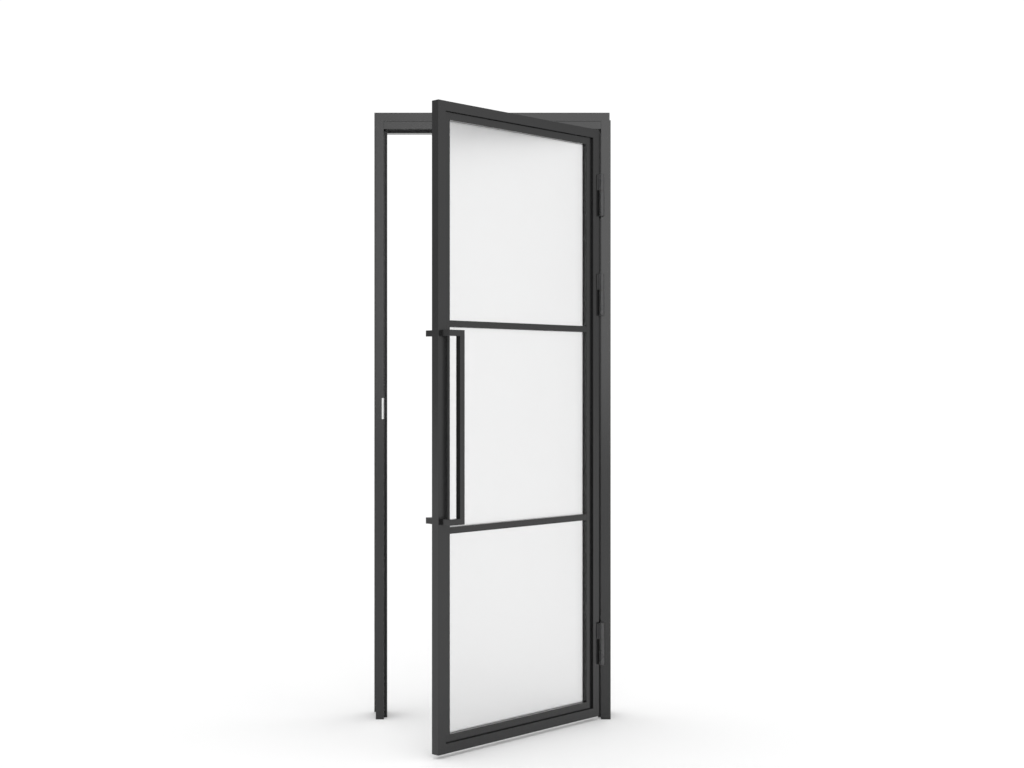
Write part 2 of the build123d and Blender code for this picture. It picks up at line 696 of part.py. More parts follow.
# Catch case behind the faceplate, bored through for the plunger, with ears for the screws
with BuildPart() as catch_case:
    with BuildSketch(leaf_side(LEAF_LOCK_X + PROFILE_WALL)):
        with Locations((CATCH_Y, CATCH_HEIGHT)):
            Rectangle(CATCH_CASE_WIDTH, CATCH_CASE_HEIGHT)
    extrude(amount=PLUNGER_LENGTH)
    with BuildSketch(leaf_side(LEAF_LOCK_X + PROFILE_WALL)):
        with Locations((CATCH_Y, CATCH_HEIGHT)):
            Rectangle(CATCH_CASE_WIDTH, CATCH_EAR_HEIGHT)
    extrude(amount=CATCH_EAR_DEPTH)
    with BuildSketch(leaf_side(LEAF_LOCK_X + PROFILE_WALL)):
        with Locations((CATCH_Y, CATCH_HEIGHT)):
            Circle(PLUNGER_RADIUS + PLUNGER_CLEARANCE)
    extrude(amount=PLUNGER_LENGTH, mode=Mode.SUBTRACT)
save(catch_case.part, "catch_case")

# Plunger cup that slides out to the strike, and the magnet bonded into it
with BuildPart() as catch_plunger:
    with BuildSketch(leaf_side(LEAF_LOCK_X)):
        with Locations((CATCH_Y, CATCH_HEIGHT)):
            Circle(PLUNGER_RADIUS)
    extrude(amount=PLUNGER_LENGTH)
    with BuildSketch(leaf_side(LEAF_LOCK_X + PLUNGER_LENGTH)):
        with Locations((CATCH_Y, CATCH_HEIGHT)):
            Circle(MAGNET_RADIUS)
    extrude(amount=-MAGNET_LENGTH, mode=Mode.SUBTRACT)
save(catch_plunger.part, "catch_plunger")

with BuildPart() as catch_magnet:
    with BuildSketch(leaf_side(LEAF_LOCK_X + PLUNGER_LENGTH)):
        with Locations((CATCH_Y, CATCH_HEIGHT)):
            Circle(MAGNET_RADIUS)
    extrude(amount=-MAGNET_LENGTH)
save(catch_magnet.part, "catch_magnet")

# Keeper plate across the case's back, which draws the magnet home when the leaf leaves its strike
with BuildPart() as catch_keeper:
    with BuildSketch(leaf_side(LEAF_LOCK_X + PROFILE_WALL + PLUNGER_LENGTH)):
        with Locations((CATCH_Y, CATCH_HEIGHT)):
            Rectangle(CATCH_CASE_WIDTH, CATCH_CASE_HEIGHT)
    extrude(amount=KEEPER_THICKNESS)
save(catch_keeper.part, "catch_keeper")

# Lower knuckles, welded to the jamb's face by short lugs, with blind bores for the pins
with BuildPart() as hinge_frame_halves:
    for centre in HINGE_HEIGHTS:
        bottom = centre - HINGE_HEIGHT / 2
        with BuildSketch(Plane.XY.offset(bottom)):
            with Locations((AXIS_X, AXIS_Y)):
                Circle(KNUCKLE_RADIUS)
        knuckle = extrude(amount=FRAME_KNUCKLE)
        chamfer(knuckle.edges().filter_by(GeomType.CIRCLE).group_by(Axis.Z)[0], KNUCKLE_CHAMFER)
        with BuildSketch(Plane.XY.offset(bottom + LUG_SETBACK)):
            span(AXIS_X, AXIS_Y + LUG_SETBACK, AXIS_X + WELD_LUG, 0)
        extrude(amount=FRAME_KNUCKLE - 2 * LUG_SETBACK)
        with BuildSketch(Plane.XY.offset(bottom + FRAME_KNUCKLE)):
            with Locations((AXIS_X, AXIS_Y)):
                Circle(PIN_RADIUS)
        extrude(amount=-PIN_DEPTH, mode=Mode.SUBTRACT)
save(hinge_frame_halves.part, "hinge_frame_halves")

# Upper knuckles, welded to the leaf's face by lugs, bored to turn on the pins
with BuildPart() as hinge_leaf_halves:
    for centre in HINGE_HEIGHTS:
        top = centre + HINGE_HEIGHT / 2
        bottom = top - LEAF_KNUCKLE
        with BuildSketch(leaf_level(bottom)):
            Circle(KNUCKLE_RADIUS)
        knuckle = extrude(amount=LEAF_KNUCKLE)
        chamfer(knuckle.edges().filter_by(GeomType.CIRCLE).group_by(Axis.Z)[-1], KNUCKLE_CHAMFER)
        with BuildSketch(leaf_level(bottom + LUG_SETBACK)):
            span(
                LEAF_HINGE_X - WELD_LUG,
                LEAF_FRONT - KNUCKLE_RADIUS + LUG_STEP,
                LEAF_HINGE_X + LUG_SETBACK,
                LEAF_FRONT,
            )
        extrude(amount=LEAF_KNUCKLE - 2 * LUG_SETBACK)
        with BuildSketch(leaf_level(bottom)):
            Circle(PIN_RADIUS + PIN_CLEARANCE)
        extrude(amount=PIN_RISE + PIN_END_GAP, mode=Mode.SUBTRACT)
save(hinge_leaf_halves.part, "hinge_leaf_halves")

# Pins, pressed into the lower knuckles and standing up into the others
with BuildPart() as hinge_pins:
    for centre in HINGE_HEIGHTS:
        with BuildSketch(Plane.XY.offset(centre - HINGE_HEIGHT / 2 + FRAME_KNUCKLE - PIN_DEPTH)):
            with Locations((AXIS_X, AXIS_Y)):
                Circle(PIN_RADIUS)
        extrude(amount=PIN_DEPTH + PIN_RISE)
save(hinge_pins.part, "hinge_pins")

# Bearing washers between the knuckles
with BuildPart() as hinge_washers:
    for centre in HINGE_HEIGHTS:
        with BuildSketch(Plane.XY.offset(centre - HINGE_HEIGHT / 2 + FRAME_KNUCKLE)):
            with Locations((AXIS_X, AXIS_Y)):
                Circle(KNUCKLE_RADIUS)
                Circle(PIN_RADIUS, mode=Mode.SUBTRACT)
        extrude(amount=WASHER_THICKNESS)
save(hinge_washers.part, "hinge_washers")
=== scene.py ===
"""Finish, lighting and camera for a framed glass door that stands open at 45 degrees."""

import json
import logging
from dataclasses import dataclass, field
from enum import Enum
from math import hypot, pi, radians
from typing import Callable, Iterable

import bpy
from mathutils import Matrix, Vector


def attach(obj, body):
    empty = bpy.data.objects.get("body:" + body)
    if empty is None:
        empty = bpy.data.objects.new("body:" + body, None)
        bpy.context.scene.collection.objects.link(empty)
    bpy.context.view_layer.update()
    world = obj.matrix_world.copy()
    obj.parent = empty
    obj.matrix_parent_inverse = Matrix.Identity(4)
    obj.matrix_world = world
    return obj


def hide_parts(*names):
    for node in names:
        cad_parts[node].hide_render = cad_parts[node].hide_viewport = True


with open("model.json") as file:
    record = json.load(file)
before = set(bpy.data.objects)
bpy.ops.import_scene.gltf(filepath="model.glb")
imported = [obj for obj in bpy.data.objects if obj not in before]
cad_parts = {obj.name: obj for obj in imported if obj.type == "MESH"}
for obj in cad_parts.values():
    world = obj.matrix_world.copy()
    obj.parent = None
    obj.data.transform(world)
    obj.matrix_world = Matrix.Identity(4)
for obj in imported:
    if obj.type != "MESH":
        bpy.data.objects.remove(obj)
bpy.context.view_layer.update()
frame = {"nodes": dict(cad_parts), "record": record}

log = logging.getLogger("glass_door")

Colour = tuple[float, float, float]

# Millimetres in a metre: the pieces' sizes are in millimetres, and Blender's are in metres.
METRE = 1000.0
# Points that lie within this many millimetres of a level count as being at it.
SAME_LEVEL = 0.01
# A face looks along an axis when its normal's share along that axis is above this.
FACING = 0.9
# The flats of a small turned part.
ROUND_SIDES = 48
# Points of a copied mesh that lie nearer than this, in metres, are merged.
MERGE_GAP = 0.000005
# Faces that turn less than this are made one, and edges that turn more than SHARP are rounded.
FLAT = radians(0.5)
SHARP = radians(40.0)
# Edges that turn less than this are shaded smooth.
SMOOTH = radians(35.0)
# How far a wide face's own normal outweighs a narrow one's.
NORMAL_WEIGHT = 60

IN_PLACE = Matrix.Identity(4)
FACING_X = Matrix.Rotation(pi / 2, 4, "Y")
FACING_BACK = Matrix.Rotation(-pi / 2, 4, "Y")

# The strike plate's face and middle, and the levels of the catch's and the plate's screws.
STRIKE_FACE = -395.5
STRIKE_DEPTH = 16.0
SCREW_LEVELS = (1092.0, 1154.0)

# Detail and roughness of the noise behind the fine relief and behind the slow change of tone.
PEBBLES = (3.0, 0.55)
CLOUDS = (4.0, 0.5)


class Grain(Enum):
    """The directions that a finish's marks can run in."""

    EVEN = (1.0, 1.0, 1.0)
    UPRIGHT = (1.0, 1.0, 0.03)


@dataclass
class NodeBuilder:
    """Adds and joins shader nodes in one node tree."""

    tree: bpy.types.NodeTree
    column: float = -900.0
    step: float = 40.0

    def add(self, kind: str, **settings: object) -> bpy.types.Node:
        """Add a node and set its properties.

        Args:
            kind: the node's type name.
            settings: property values by name.

        Returns:
            The new node.
        """
        node = self.tree.nodes.new(kind)
        node.location = (self.column, 0.0)
        self.column += self.step
        for name, value in settings.items():
            setattr(node, name, value)
        return node

    def join(self, source: bpy.types.NodeSocket, target: bpy.types.NodeSocket) -> None:
        """Join an output to an input."""
        self.tree.links.new(source, target)

    def ramp(
        self, source: bpy.types.NodeSocket, span: tuple[float, float], values: tuple[float, float]
    ) -> bpy.types.NodeSocket:
        """Run smoothly from one value to another.

        Args:
            source: the number that the ramp follows.
            span: where the ramp starts and ends.
            values: its value before the start and after the end.

        Returns:
            The ramp's output.
        """
        node = self.add("ShaderNodeMapRange", interpolation_type="SMOOTHSTEP")
        node.inputs["From Min"].default_value, node.inputs["From Max"].default_value = span
        node.inputs["To Min"].default_value, node.inputs["To Max"].default_value = values
        self.join(source, node.inputs["Value"])
        return node.outputs["Result"]

    def blend(self, factor: object, first: object, second: object) -> bpy.types.NodeSocket:
        """Mix two colours or numbers.

        Args:
            factor: a socket or a number from 0 to 1.
            first: a socket, number or colour at factor 0.
            second: a socket, number or colour at factor 1.

        Returns:
            The mixed output socket.
        """
        is_colour = any(
            isinstance(item, tuple) or getattr(item, "type", "") == "RGBA" for item in (first, second)
        )
        node = self.add("ShaderNodeMix", data_type="RGBA" if is_colour else "FLOAT")
        kind = "RGBA" if is_colour else "VALUE"
        inputs = [socket for socket in node.inputs if socket.type == kind and socket.name in "AB"]
        for socket, item in ((node.inputs[0], factor), (inputs[0], first), (inputs[1], second)):
            if isinstance(item, bpy.types.NodeSocket):
                self.join(item, socket)
            elif isinstance(item, tuple):
                socket.default_value = (*item, 1.0)
            else:
                socket.default_value = item
        return next(socket for socket in node.outputs if socket.type == kind)


def object_coordinates(builder: NodeBuilder, scale: Vector) -> bpy.types.NodeSocket:
    """Give the piece's own coordinates, stretched.

    Args:
        builder: the tree to add to.
        scale: how much each axis is stretched.

    Returns:
        The stretched vector.
    """
    place = builder.add("ShaderNodeTexCoord")
    mapping = builder.add("ShaderNodeMapping")
    mapping.inputs["Scale"].default_value = scale
    builder.join(place.outputs["Object"], mapping.inputs["Vector"])
    return mapping.outputs["Vector"]


def texture_group(name: str) -> bpy.types.NodeTree:
    """Build the shared group that gives a fine pebbled height and a slow cloudy mask.

    Args:
        name: the group's name.

    Returns:
        A group with Vector, Fine and Slow in, and Height and Cloud out.
    """
    group = bpy.data.node_groups.get(name)
    if group:
        return group
    group = bpy.data.node_groups.new(name, "ShaderNodeTree")
    for socket, way, kind in (
        ("Vector", "INPUT", "NodeSocketVector"),
        ("Fine", "INPUT", "NodeSocketFloat"),
        ("Slow", "INPUT", "NodeSocketFloat"),
        ("Height", "OUTPUT", "NodeSocketFloat"),
        ("Cloud", "OUTPUT", "NodeSocketFloat"),
    ):
        group.interface.new_socket(name=socket, in_out=way, socket_type=kind)
    builder = NodeBuilder(group)
    entry = builder.add("NodeGroupInput")
    exit_node = builder.add("NodeGroupOutput")
    for scale, grain, output in (("Fine", PEBBLES, "Height"), ("Slow", CLOUDS, "Cloud")):
        noise = builder.add("ShaderNodeTexNoise")
        noise.inputs["Detail"].default_value, noise.inputs["Roughness"].default_value = grain
        builder.join(entry.outputs["Vector"], noise.inputs["Vector"])
        builder.join(entry.outputs[scale], noise.inputs["Scale"])
        builder.join(noise.outputs["Fac"], exit_node.inputs[output])
    return group


@dataclass(frozen=True)
class Finish:
    """A surface finish, with a fine relief and a slow change of tone and gloss.

    The tone and gloss each run between two values. The relief is a bump of the given height.
    """

    name: str
    dark: Colour
    light: Colour
    rough_low: float
    rough_high: float
    metallic: float = 0.0
    fine: float = 900.0
    slow: float = 6.0
    relief: float = 0.0001
    relief_strength: float = 0.3
    grain: Grain = Grain.EVEN
    ior: float = 1.5
    transmission: float = 0.0

    def material(self) -> bpy.types.Material:
        """Build the finish's material once, and return it after that.

        Returns:
            The material.
        """
        existing = bpy.data.materials.get(self.name)
        if existing:
            return existing
        made = bpy.data.materials.new(self.name)
        made.use_nodes = True
        builder = NodeBuilder(made.node_tree)
        shader = made.node_tree.nodes["Principled BSDF"]
        vector = object_coordinates(builder, Vector(self.grain.value))
        texture = builder.add("ShaderNodeGroup", node_tree=texture_group("fine relief and cloud"))
        texture.inputs["Fine"].default_value = self.fine
        texture.inputs["Slow"].default_value = self.slow
        builder.join(vector, texture.inputs["Vector"])
        tone = builder.blend(texture.outputs["Cloud"], self.dark, self.light)
        gloss = builder.blend(texture.outputs["Cloud"], self.rough_low, self.rough_high)
        bump = builder.add("ShaderNodeBump")
        bump.inputs["Strength"].default_value = self.relief_strength
        bump.inputs["Distance"].default_value = self.relief
        builder.join(texture.outputs["Height"], bump.inputs["Height"])
        builder.join(bump.outputs["Normal"], shader.inputs["Normal"])
        builder.join(tone, shader.inputs["Base Color"])
        builder.join(gloss, shader.inputs["Roughness"])
        shader.inputs["Metallic"].default_value = self.metallic
        shader.inputs["IOR"].default_value = self.ior
        shader.inputs["Transmission Weight"].default_value = self.transmission
        return made


POWDER_COAT = Finish(
    "anthracite_powder_coat",
    dark=(0.0103, 0.0103, 0.0105),
    light=(0.0143, 0.0143, 0.0146),
    rough_low=0.19,
    rough_high=0.24,
    fine=1500.0,
    slow=5.0,
    relief=0.00012,
    relief_strength=0.15,
)
HANDLE_COAT = Finish(
    "anthracite_handle_coat",
    dark=(0.0103, 0.0103, 0.0105),
    light=(0.0143, 0.0143, 0.0146),
    rough_low=0.19,
    rough_high=0.24,
    fine=1700.0,
    slow=9.0,
    relief=0.0001,
    relief_strength=0.15,
)
# Painted sheen: this coat is about four times lighter than the door's own anthracite paint, so the
# hinge knuckles, and the welds that share it, look lit by the white they reflect.
HINGE_COAT_WITH_PAINTED_SHEEN = Finish(
    "hinge_coat_with_painted_sheen",
    dark=(0.040, 0.040, 0.041),
    light=(0.050, 0.050, 0.051),
    rough_low=0.24,
    rough_high=0.32,
    fine=1500.0,
    slow=20.0,
)
FROSTED_GLASS = Finish(
    "acid_etched_glass",
    dark=(0.895, 0.896, 0.896),
    light=(0.905, 0.906, 0.906),
    rough_low=0.39,
    rough_high=0.41,
    fine=2600.0,
    slow=2.0,
    relief=0.00005,
    relief_strength=0.12,
    ior=1.45,
    transmission=1.0,
)
SEAL_RUBBER = Finish(
    "seal_rubber",
    dark=(0.008, 0.008, 0.008),
    light=(0.014, 0.014, 0.014),
    rough_low=0.55,
    rough_high=0.7,
    fine=600.0,
    slow=14.0,
    grain=Grain.UPRIGHT,
)
SATIN_STAINLESS = Finish(
    "satin_stainless",
    dark=(0.50, 0.50, 0.495),
    light=(0.62, 0.62, 0.615),
    rough_low=0.28,
    rough_high=0.38,
    metallic=1.0,
    fine=1400.0,
    slow=60.0,
    relief=0.00004,
    relief_strength=0.35,
    grain=Grain.UPRIGHT,
)
ZINC_PLATE = Finish(
    "zinc_plate",
    dark=(0.50, 0.52, 0.54),
    light=(0.64, 0.65, 0.66),
    rough_low=0.3,
    rough_high=0.42,
    metallic=1.0,
    fine=700.0,
    slow=80.0,
)
CAST_ALLOY = Finish(
    "cast_alloy",
    dark=(0.42, 0.42, 0.43),
    light=(0.55, 0.55, 0.56),
    rough_low=0.42,
    rough_high=0.56,
    metallic=1.0,
    fine=500.0,
    slow=40.0,
    relief=0.00015,
)
MOULDED_PLASTIC = Finish(
    "moulded_plastic",
    dark=(0.015, 0.015, 0.016),
    light=(0.022, 0.022, 0.023),
    rough_low=0.45,
    rough_high=0.58,
    fine=800.0,
    slow=30.0,
)
NICKEL_PLATE = Finish(
    "nickel_plate",
    dark=(0.62, 0.59, 0.54),
    light=(0.72, 0.70, 0.66),
    rough_low=0.16,
    rough_high=0.26,
    metallic=1.0,
    fine=900.0,
    slow=90.0,
)
OILED_BRONZE = Finish(
    "oiled_bronze",
    dark=(0.035, 0.027, 0.020),
    light=(0.055, 0.043, 0.031),
    rough_low=0.42,
    rough_high=0.55,
    metallic=1.0,
    fine=900.0,
    slow=110.0,
)
FOAM_TAPE = Finish(
    "foam_tape",
    dark=(0.05, 0.05, 0.05),
    light=(0.09, 0.09, 0.09),
    rough_low=0.75,
    rough_high=0.9,
    fine=1800.0,
    slow=40.0,
    relief=0.0002,
)
BLACKENED_ZINC = Finish(
    "blackened_zinc",
    dark=(0.030, 0.030, 0.031),
    light=(0.045, 0.045, 0.046),
    rough_low=0.3,
    rough_high=0.42,
    metallic=0.6,
    fine=700.0,
    slow=80.0,
)

FINISH_OF_SLOT: dict[str, Finish] = {
    "frame_paint": POWDER_COAT,
    "leaf_paint": POWDER_COAT,
    "handle_paint": HANDLE_COAT,
    "hinge_paint": HINGE_COAT_WITH_PAINTED_SHEEN,
    "frosted_glass": FROSTED_GLASS,
    "black_rubber": SEAL_RUBBER,
    "stainless": SATIN_STAINLESS,
    "zinc_steel": ZINC_PLATE,
    "cast_zinc": CAST_ALLOY,
    "black_plastic": MOULDED_PLASTIC,
    "magnet_nickel": NICKEL_PLATE,
    "bearing_bronze": OILED_BRONZE,
    "tape_grey": FOAM_TAPE,
}
# The plunger's cup is darker than the slot's other zinc.
FINISH_OF_NODE: dict[str, Finish] = {"catch_plunger": BLACKENED_ZINC}
SLOT_OF_NODE: dict[str, str] = {
    entry["node"]: entry["material_slot"] for entry in frame["record"]["subparts"]
}


class Body(Enum):
    """The bodies that a new piece can ride on."""

    FRAME = "frame"
    LEAF = "leaf"


def mm(*lengths: float) -> Vector:
    """Turn lengths in millimetres into a vector in metres."""
    return Vector(lengths) / METRE


def standing(x: float, y: float, z: float, turn: float = 0.0) -> Matrix:
    """Give the place of something that stands upright.

    Args:
        x, y, z: the place, in millimetres.
        turn: the turn about the vertical, in radians.

    Returns:
        The place as a matrix.
    """
    return Matrix.Translation(mm(x, y, z)) @ Matrix.Rotation(turn, 4, "Z")


def at_level(first: Vector, second: Vector, level: float) -> bool:
    """Tell whether an edge's two ends, in millimetres, both lie at a level."""
    return max(abs(first.z - level), abs(second.z - level)) < SAME_LEVEL


def reach(point: Vector) -> float:
    """Give a point's distance from the Z axis."""
    return hypot(point.x, point.y)


LEAF_PLACE = standing(392.0, -8.5, 0.0, pi / 4)


@dataclass
class Workpiece:
    """One new piece, shaped with Blender's own tools.

    Sizes are in millimetres, in the piece's own axes until `settle` puts it in its place.
    """

    name: str
    holder: bpy.types.Object = field(init=False)

    def start_round(self, radius: float, low: float, high: float, sides: int) -> "Workpiece":
        """Begin from a round bar along Z.

        Args:
            radius: its radius.
            low: the level of its lower end.
            high: the level of its upper end.
            sides: how many flats its side has.

        Returns:
            The piece.
        """
        bpy.ops.object.select_all(action="DESELECT")
        bpy.ops.mesh.primitive_cylinder_add(
            vertices=sides,
            radius=radius / METRE,
            depth=(high - low) / METRE,
            location=mm(0.0, 0.0, (low + high) / 2),
        )
        return self.take_active()

    def start_block(self, low: Vector, high: Vector) -> "Workpiece":
        """Begin from a block.

        Args:
            low: its lowest corner.
            high: its highest corner.

        Returns:
            The piece.
        """
        bpy.ops.object.select_all(action="DESELECT")
        bpy.ops.mesh.primitive_cube_add(size=1.0, location=(low + high) / 2 / METRE)
        bpy.context.active_object.scale = (high - low) / METRE
        return self.take_active()

    def start_copy(self, node: str) -> "Workpiece":
        """Begin from a merged copy of a CAD piece, with its flat faces made whole.

        Args:
            node: the CAD piece's name.

        Returns:
            The piece.
        """
        self.holder = bpy.data.objects.new(self.name, frame["nodes"][node].data.copy())
        bpy.context.scene.collection.objects.link(self.holder)
        self.make_active()
        bpy.ops.mesh.customdata_custom_splitnormals_clear()
        bpy.ops.object.mode_set(mode="EDIT")
        bpy.ops.mesh.select_all(action="SELECT")
        bpy.ops.mesh.remove_doubles(threshold=MERGE_GAP)
        bpy.ops.mesh.dissolve_limited(angle_limit=FLAT)
        bpy.ops.object.mode_set(mode="OBJECT")
        return self

    def take_active(self) -> "Workpiece":
        """Name the object just added, and put its place and scale in its mesh.

        Returns:
            The piece.
        """
        self.holder = bpy.context.active_object
        self.holder.name = self.name
        bpy.ops.object.transform_apply(location=True, rotation=True, scale=True)
        return self

    def make_active(self) -> None:
        """Select this piece alone, and have the tools act on it."""
        bpy.ops.object.select_all(action="DESELECT")
        self.holder.select_set(True)
        bpy.context.view_layer.objects.active = self.holder

    def discard(self) -> None:
        """Remove the piece and its mesh."""
        model = self.holder.data
        bpy.data.objects.remove(self.holder)
        bpy.data.meshes.remove(model)

    def select_faces(self, wanted: Callable[[bpy.types.MeshPolygon], bool]) -> None:
        """Select the faces that pass a test, and enter edit mode.

        Args:
            wanted: the test that a face has to pass.
        """
        bpy.ops.object.mode_set(mode="EDIT")
        bpy.ops.mesh.select_mode(type="FACE")
        bpy.ops.mesh.select_all(action="DESELECT")
        bpy.ops.object.mode_set(mode="OBJECT")
        for face in self.holder.data.polygons:
            face.select = wanted(face)
        bpy.ops.object.mode_set(mode="EDIT")

    def select_edges(self, wanted: Callable[[Vector, Vector], bool]) -> None:
        """Select the edges whose two ends pass a test, and enter edit mode.

        Args:
            wanted: the test, which is given the two ends in millimetres.
        """
        bpy.ops.object.mode_set(mode="EDIT")
        bpy.ops.mesh.select_mode(type="EDGE")
        bpy.ops.mesh.select_all(action="DESELECT")
        bpy.ops.object.mode_set(mode="OBJECT")
        points = self.holder.data.vertices
        for edge in self.holder.data.edges:
            first, second = (points[index].co * METRE for index in edge.vertices)
            edge.select = wanted(first, second)
        bpy.ops.object.mode_set(mode="EDIT")

    def leave_edit(self) -> None:
        """Go back to object mode."""
        bpy.ops.object.mode_set(mode="OBJECT")

    def draw_out(self, rise: float, ratio: float = 1.0) -> None:
        """Extrude the selected faces along Z, and size their new end about the Z axis.

        Args:
            rise: how far the new end moves up.
            ratio: its size against the old one's.
        """
        bpy.ops.mesh.extrude_region_move(TRANSFORM_OT_translate={"value": mm(0.0, 0.0, rise)})
        bpy.ops.transform.resize(value=(ratio, ratio, 1.0), center_override=Vector())

    def apply(self, kind: str, **settings: object) -> "Workpiece":
        """Add a modifier, set it and apply it.

        Args:
            kind: the modifier's type name.
            settings: its property values by name.

        Returns:
            The piece.
        """
        modifier = self.holder.modifiers.new(kind.lower(), kind)
        for name, value in settings.items():
            setattr(modifier, name, value)
        bpy.ops.object.modifier_apply(modifier=modifier.name)
        return self

    def round_edges(self, width: float, steps: int = 2) -> "Workpiece":
        """Round the sharp edges, and shade the piece smooth between them.

        Args:
            width: how far each edge is cut back.
            steps: how many flats make up the round.

        Returns:
            The piece.
        """
        self.apply(
            "BEVEL",
            width=width / METRE,
            segments=steps,
            limit_method="ANGLE",
            angle_limit=SHARP,
            use_clamp_overlap=True,
        )
        bpy.ops.object.shade_smooth_by_angle(angle=SMOOTH)
        return self.apply("WEIGHTED_NORMAL", weight=NORMAL_WEIGHT, keep_sharp=True)

    def dress(self, finish: Finish, slot: str, body: Body) -> None:
        """Give the piece its finish and the body that it rides on.

        Args:
            finish: its finish.
            slot: the record's material slot; not used.
            body: what it moves with.
        """
        self.holder.data.materials.clear()
        self.holder.data.materials.append(finish.material())
        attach(self.holder, body.value)
        log.info("%s made, %d faces", self.name, len(self.holder.data.polygons))

    def settle(self, place: Matrix, finish: Finish, slot: str, body: Body) -> None:
        """Put the piece in its place for good, and dress it.

        Args:
            place: the piece's axes in the row frame.
            finish: its finish.
            slot: the record's material slot.
            body: what it moves with.
        """
        self.make_active()
        self.holder.matrix_world = place
        bpy.ops.object.transform_apply(location=True, rotation=True, scale=True)
        self.dress(finish, slot, body)

    def settle_copies(
        self, places: Iterable[Matrix], finish: Finish, slot: str, body: Body
    ) -> None:
        """Put a copy of the piece, with its own mesh, at each place, and drop the model.

        Args:
            places: the axes of each copy in the row frame.
            finish: the finish of all of them.
            slot: their record slot.
            body: what they move with.
        """
        for number, place in enumerate(places, start=1):
            self.make_active()
            bpy.ops.object.duplicate()
            twin = Workpiece(f"{self.name}_{number}")
            twin.holder = bpy.context.active_object
            twin.holder.name = twin.name
            twin.settle(place, finish, slot, body)
        self.discard()


@dataclass
class CountersunkScrews:
    """The four small countersunk screws of the catch and of its strike plate.

    Sizes are in millimetres. A screw points down its own Z axis, with its head's face at Z = 0.
    """

    head_radius: float = 3.1
    head_depth: float = 1.55
    shank_radius: float = 1.7
    length: float = 9.0
    socket_radius: float = 1.25
    socket_depth: float = 1.1
    rim: float = 0.25
    tip: float = 0.6
    smooth_angle: float = 30.0
    sunk: float = 0.1
    closing_edge: float = -785.0
    leaf_middle: float = 24.5

    def model(self, name: str) -> Workpiece:
        """Shape one screw: a cone under a flat head, a shank, and a six-sided socket.

        Args:
            name: the screw's name.

        Returns:
            The screw.
        """
        screw = Workpiece(name).start_round(self.head_radius, -self.head_depth, 0.0, ROUND_SIDES)
        screw.select_faces(lambda face: face.normal.z < -FACING)
        screw.draw_out(0.0, self.shank_radius / self.head_radius)
        screw.leave_edit()
        screw.select_edges(
            lambda first, second: at_level(first, second, -self.head_depth)
            and min(reach(first), reach(second)) > self.head_radius - SAME_LEVEL
        )
        bpy.ops.transform.translate(value=mm(0.0, 0.0, self.head_depth - self.rim))
        screw.leave_edit()
        screw.select_faces(lambda face: face.normal.z < -FACING)
        screw.draw_out(self.head_depth - self.length, self.tip)
        screw.leave_edit()
        screw.select_faces(lambda face: face.normal.z > FACING)
        bpy.ops.mesh.delete(type="ONLY_FACE")
        bpy.ops.mesh.select_mode(type="EDGE")
        bpy.ops.mesh.primitive_circle_add(vertices=6, radius=self.socket_radius / METRE)
        screw.leave_edit()
        screw.select_edges(lambda first, second: at_level(first, second, 0.0))
        bpy.ops.mesh.bridge_edge_loops()
        screw.leave_edit()
        screw.select_edges(
            lambda first, second: at_level(first, second, 0.0)
            and max(reach(first), reach(second)) < self.socket_radius + SAME_LEVEL
        )
        bpy.ops.mesh.extrude_edges_move(
            TRANSFORM_OT_translate={"value": mm(0.0, 0.0, -self.socket_depth)}
        )
        bpy.ops.mesh.edge_face_add()
        bpy.ops.mesh.select_all(action="SELECT")
        bpy.ops.mesh.normals_make_consistent(inside=False)
        screw.leave_edit()
        bpy.ops.object.shade_smooth_by_angle(angle=radians(self.smooth_angle))
        return screw

    def build(self) -> None:
        """Put two screws in the catch and two in the strike plate."""
        leaf_x = self.closing_edge + self.sunk
        frame_x = STRIKE_FACE - self.sunk
        self.model("catch_screw").settle_copies(
            [
                LEAF_PLACE @ standing(leaf_x, self.leaf_middle, level) @ FACING_BACK
                for level in SCREW_LEVELS
            ],
            POWDER_COAT,
            "leaf_paint",
            Body.LEAF,
        )
        self.model("strike_screw").settle_copies(
            [standing(frame_x, STRIKE_DEPTH, level) @ FACING_X for level in SCREW_LEVELS],
            SATIN_STAINLESS,
            "stainless",
            Body.FRAME,
        )


@dataclass
class StrikePlate:
    """The strike plate, with the countersunk mouths that its two screws sit in.

    Sizes are in millimetres.
    """

    thickness: float = 2.0
    mouth_radius: float = 3.2
    mouth_depth: float = 1.6
    bore_radius: float = 1.75
    edge: float = 0.25
    past_back: float = 1.0
    past_face: float = 0.5

    def cutter(self, level: float) -> Workpiece:
        """Shape the tool that sinks one mouth: a shank that widens to the head's cone.

        Args:
            level: the mouth's height.

        Returns:
            The tool, in its place.
        """
        tool = Workpiece(f"mouth_tool_{level:.0f}").start_round(
            self.bore_radius, -self.thickness - self.past_back, -self.mouth_depth, ROUND_SIDES
        )
        widening = self.mouth_radius / self.bore_radius
        for rise, ratio in ((self.mouth_depth, widening), (self.past_face, 1.0)):
            tool.select_faces(lambda face: face.normal.z > FACING)
            tool.draw_out(rise, ratio)
            tool.leave_edit()
        tool.holder.matrix_world = standing(STRIKE_FACE, STRIKE_DEPTH, level) @ FACING_X
        bpy.ops.object.transform_apply(location=True, rotation=True, scale=True)
        return tool

    def build(self) -> None:
        """Sink the two mouths in a copy of the plate and let it stand for the plate."""
        tools = [self.cutter(level) for level in SCREW_LEVELS]
        plate = Workpiece("sunk_strike_plate").start_copy("strike_plate")
        for tool in tools:
            plate.apply("BOOLEAN", object=tool.holder, operation="DIFFERENCE", solver="EXACT")
        for tool in tools:
            tool.discard()
        plate.round_edges(self.edge)
        plate.settle(IN_PLACE, SATIN_STAINLESS, "stainless", Body.FRAME)
        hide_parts("strike_plate")


